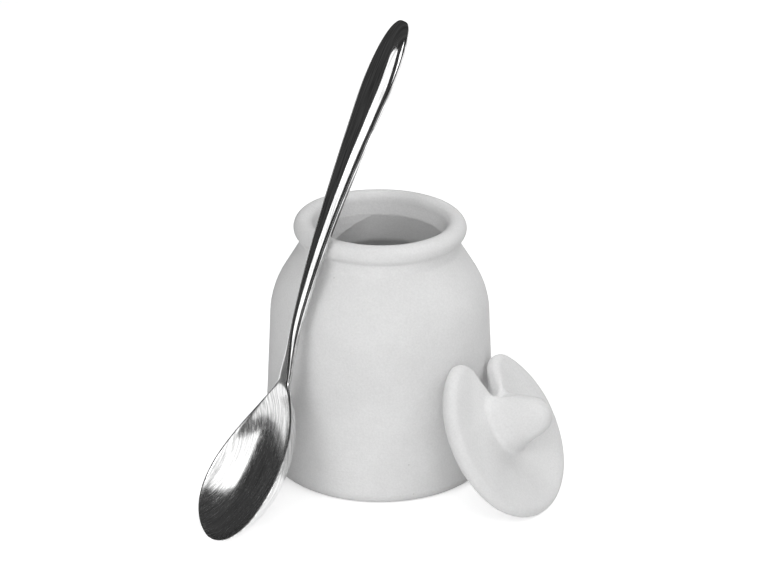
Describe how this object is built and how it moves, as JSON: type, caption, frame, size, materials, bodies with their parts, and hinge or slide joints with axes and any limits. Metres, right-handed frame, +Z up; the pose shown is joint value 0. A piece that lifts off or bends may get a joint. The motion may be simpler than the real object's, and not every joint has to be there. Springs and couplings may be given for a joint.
{
  "type": "jam pot",
  "caption": "Pale unglazed clay jam pot with a rolled rim, its knobbed lid with a spoon notch leaning beside it and a steel spoon resting on the rim.",
  "frame": {"origin": "middle of the pot's flat foot, on the table", "axes": "+Z up, +X to the right and +Y away from the viewer, so that the front is -Y"},
  "size_m": [0.1208, 0.1097, 0.1529],
  "materials": {
    "clay": "matt unglazed bisque",
    "steel": "polished"
  },
  "bodies": {
    "pot_body": {"pot": "clay"},
    "lid_body": {"lid": "clay"},
    "spoon_body": {"spoon": "steel"}
  },
  "joints": [
    {"name": "lid_lift", "type": "slide", "parent": "pot_body", "child": "lid_body", "axis": [0.7143, -0.4091, 0.5678], "range_m": [0, 0.12]},
    {"name": "spoon_lift", "type": "slide", "parent": "pot_body", "child": "spoon_body", "axis": [-0.5885, -0.64, 0.4939], "range_m": [0, 0.15]}
  ]
}
